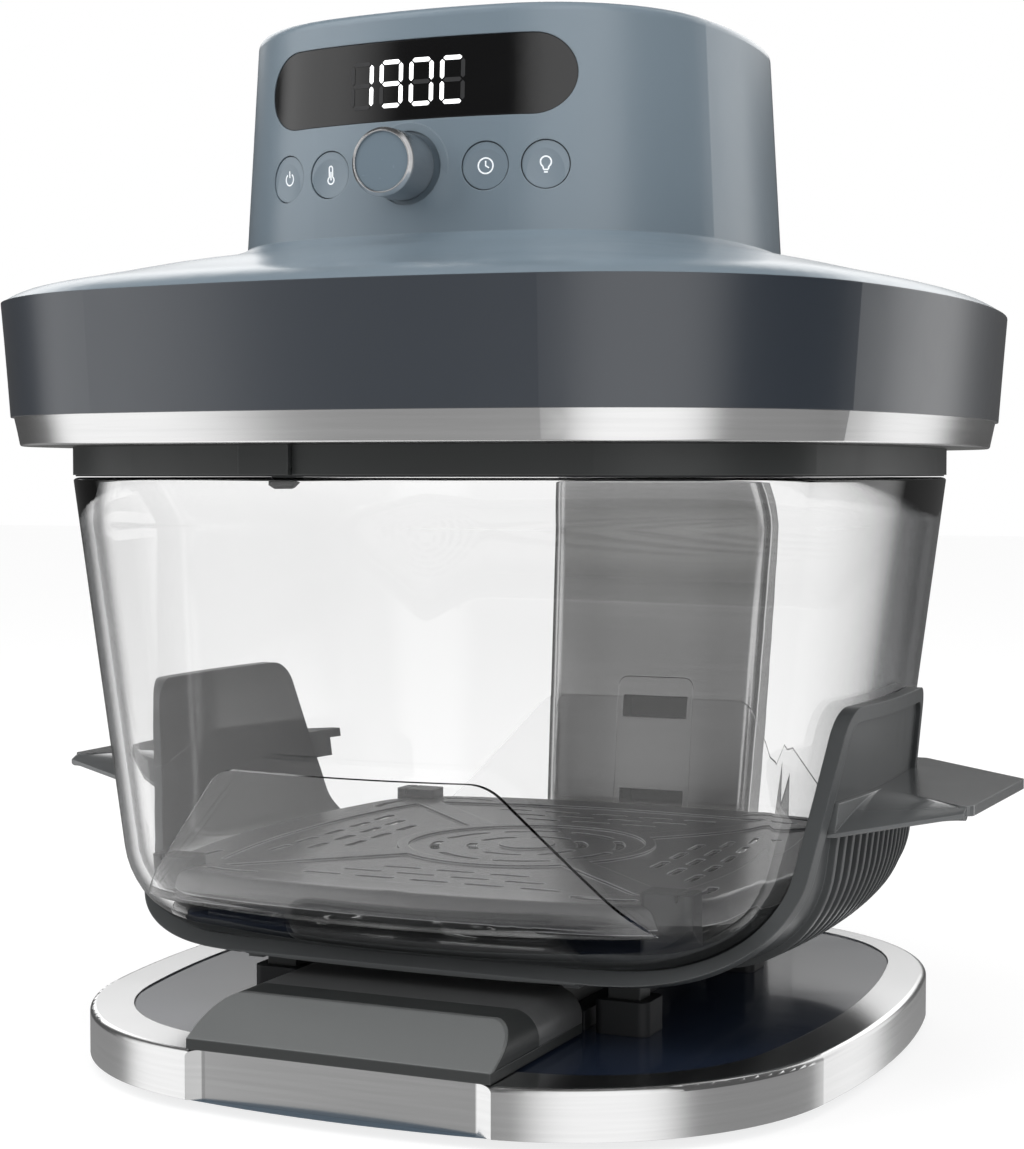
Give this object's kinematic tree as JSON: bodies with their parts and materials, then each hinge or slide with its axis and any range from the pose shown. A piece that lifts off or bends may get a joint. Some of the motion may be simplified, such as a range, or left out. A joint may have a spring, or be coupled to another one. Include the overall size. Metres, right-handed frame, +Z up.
{
  "type": "air fryer",
  "caption": "Countertop glass air fryer: a blue-grey head with display, keys and knob on a rear column, over a clear glass bowl in a dark cradle with wing handles and a front lift lever",
  "frame": {"origin": "on the worktop under the middle of the head", "axes": "X right as seen from the front, the front faces -Y, Z up"},
  "size_m": [0.309, 0.315, 0.3147],
  "materials": {
    "pan_plastic": "satin blue-grey moulded plastic",
    "foot_rubber": "matte rubber",
    "brushed_trim": "horizontally brushed steel",
    "plate_navy": "glossy navy enamel",
    "screw_steel": "plain zinc-plated steel",
    "column_steel": "dark horizontally brushed steel",
    "dark_plastic": "dark grey moulded plastic",
    "lever_grey": "light grey satin plastic",
    "lever_steel": "dark brushed steel",
    "acetal_white": "slippery white acetal",
    "clear_glass": "clear borosilicate glass",
    "clear_guard": "clear heat-resistant plastic",
    "handle_grey": "light grey satin plastic",
    "nonstick": "dark speckled non-stick coating",
    "bumper_silicone": "dark silicone",
    "slate_plastic": "satin dark slate plastic",
    "head_plastic": "satin blue-grey plastic",
    "display_black": "glossy black display window",
    "circuit_green": "circuit board lacquer",
    "key_black": "glossy black keys",
    "knob_black": "black satin knob",
    "bright_ring": "bright chamfered ring",
    "spindle_steel": "ground steel",
    "bright_steel": "plain bright sheet steel",
    "element_steel": "oxidised heating tube",
    "fan_aluminium": "pressed aluminium",
    "motor_steel": "motor housing",
    "lamp_glass": "clear lamp glass",
    "seal_silicone": "grey silicone seal",
    "harness_black": "sleeved wires"
  },
  "bodies": {
    "body": {"base_pan": "pan_plastic", "rubber_feet": "foot_rubber", "base_rim": "brushed_trim", "base_plate": "plate_navy", "housing_screws": "screw_steel", "column_shell": "column_steel", "height_window_panel": "column_steel", "window_pockets": "dark_plastic", "column_vent": "dark_plastic", "column_spine": "bright_steel", "column_back_cover": "dark_plastic", "cord_gland": "dark_plastic", "wiring_harness": "harness_black", "lever_track": "acetal_white", "guide_blocks": "acetal_white", "head_floor": "bright_steel", "collar": "dark_plastic", "lid_gasket": "seal_silicone", "steel_band": "brushed_trim", "head_skirt": "slate_plastic", "head_housing": "head_plastic", "display_lens": "display_black", "display_module": "display_black", "control_board": "circuit_green", "button_carrier": "dark_plastic", "tact_switches": "dark_plastic", "rotary_encoder": "bright_steel", "reflector": "bright_steel", "heating_element": "element_steel", "motor": "motor_steel", "motor_bracket": "bright_steel", "guard_grille": "bright_steel", "oven_lamp": "lamp_glass", "temperature_sensor": "spindle_steel", "interlock_housing": "dark_plastic", "power_board": "circuit_green"},
    "lever": {"lever_slide": "dark_plastic", "lever_sleeve": "lever_steel", "lever_nose": "dark_plastic", "lever_panel": "lever_grey"},
    "platform": {"lift_platform": "dark_plastic"},
    "container": {"glass_bowl": "clear_glass", "cradle": "dark_plastic", "right_handle": "handle_grey", "left_handle": "handle_grey", "front_guard": "clear_guard", "rear_guard": "clear_guard"},
    "crisper": {"crisper_plate": "nonstick", "crisper_bumpers": "bumper_silicone"},
    "power_key": {"power_button": "key_black"},
    "temp_key": {"temp_button": "key_black"},
    "time_key": {"time_button": "key_black"},
    "light_key": {"light_button": "key_black"},
    "spindle": {"knob_spindle": "spindle_steel"},
    "knob": {"control_knob": "knob_black", "knob_ring": "bright_ring"},
    "fan_rotor": {"convection_fan": "fan_aluminium", "motor_shaft": "spindle_steel", "cooling_blower": "dark_plastic"},
    "interlock": {"interlock_tab": "dark_plastic"}
  },
  "joints": [
    {"name": "platform_lift", "type": "slide", "parent": "body", "child": "platform", "axis": [0, 0, -1], "range_m": [0, 0.004]},
    {"name": "lever_pull", "type": "slide", "parent": "body", "child": "lever", "axis": [0, -1, 0], "range_m": [0, 0.028]},
    {"name": "container_slide", "type": "slide", "parent": "platform", "child": "container", "axis": [0, -1, 0], "range_m": [0, 0.3]},
    {"name": "crisper_lift", "type": "slide", "parent": "container", "child": "crisper", "axis": [0, 0, 1], "range_m": [0, 0.1]},
    {"name": "power_press", "type": "slide", "parent": "body", "child": "power_key", "axis": [0.3845, 0.9231, 0], "range_m": [0, 0.0008], "stiffness_N_per_m": 500, "springref_m": -0.0008},
    {"name": "temp_press", "type": "slide", "parent": "body", "child": "temp_key", "axis": [0.1453, 0.9894, 0], "range_m": [0, 0.0008], "stiffness_N_per_m": 500, "springref_m": -0.0008},
    {"name": "time_press", "type": "slide", "parent": "body", "child": "time_key", "axis": [-0.1326, 0.9912, 0], "range_m": [0, 0.0008], "stiffness_N_per_m": 500, "springref_m": -0.0008},
    {"name": "light_press", "type": "slide", "parent": "body", "child": "light_key", "axis": [-0.3573, 0.934, 0], "range_m": [0, 0.0008], "stiffness_N_per_m": 500, "springref_m": -0.0008},
    {"name": "knob_press", "type": "slide", "parent": "body", "child": "spindle", "axis": [0, 1, 0], "range_m": [0, 0.001], "stiffness_N_per_m": 600, "springref_m": -0.001},
    {"name": "knob_turn", "type": "hinge", "parent": "spindle", "child": "knob", "pos_m": [0, -0.08808, 0.2686], "axis": [0, -1, 0], "continuous": true},
    {"name": "fan_spin", "type": "hinge", "parent": "body", "child": "fan_rotor", "pos_m": [0, -0.002, 0.24], "axis": [0, 0, 1], "continuous": true},
    {"name": "interlock_rise", "type": "slide", "parent": "body", "child": "interlock", "axis": [0, 0, 1], "range_m": [0, 0.006]}
  ],
  "couplings": [
    {"joint": "lever_pull", "follows": "platform_lift", "ratio": 7},
    {"joint": "interlock_rise", "follows": "container_slide", "ratio": 0.02}
  ]
}
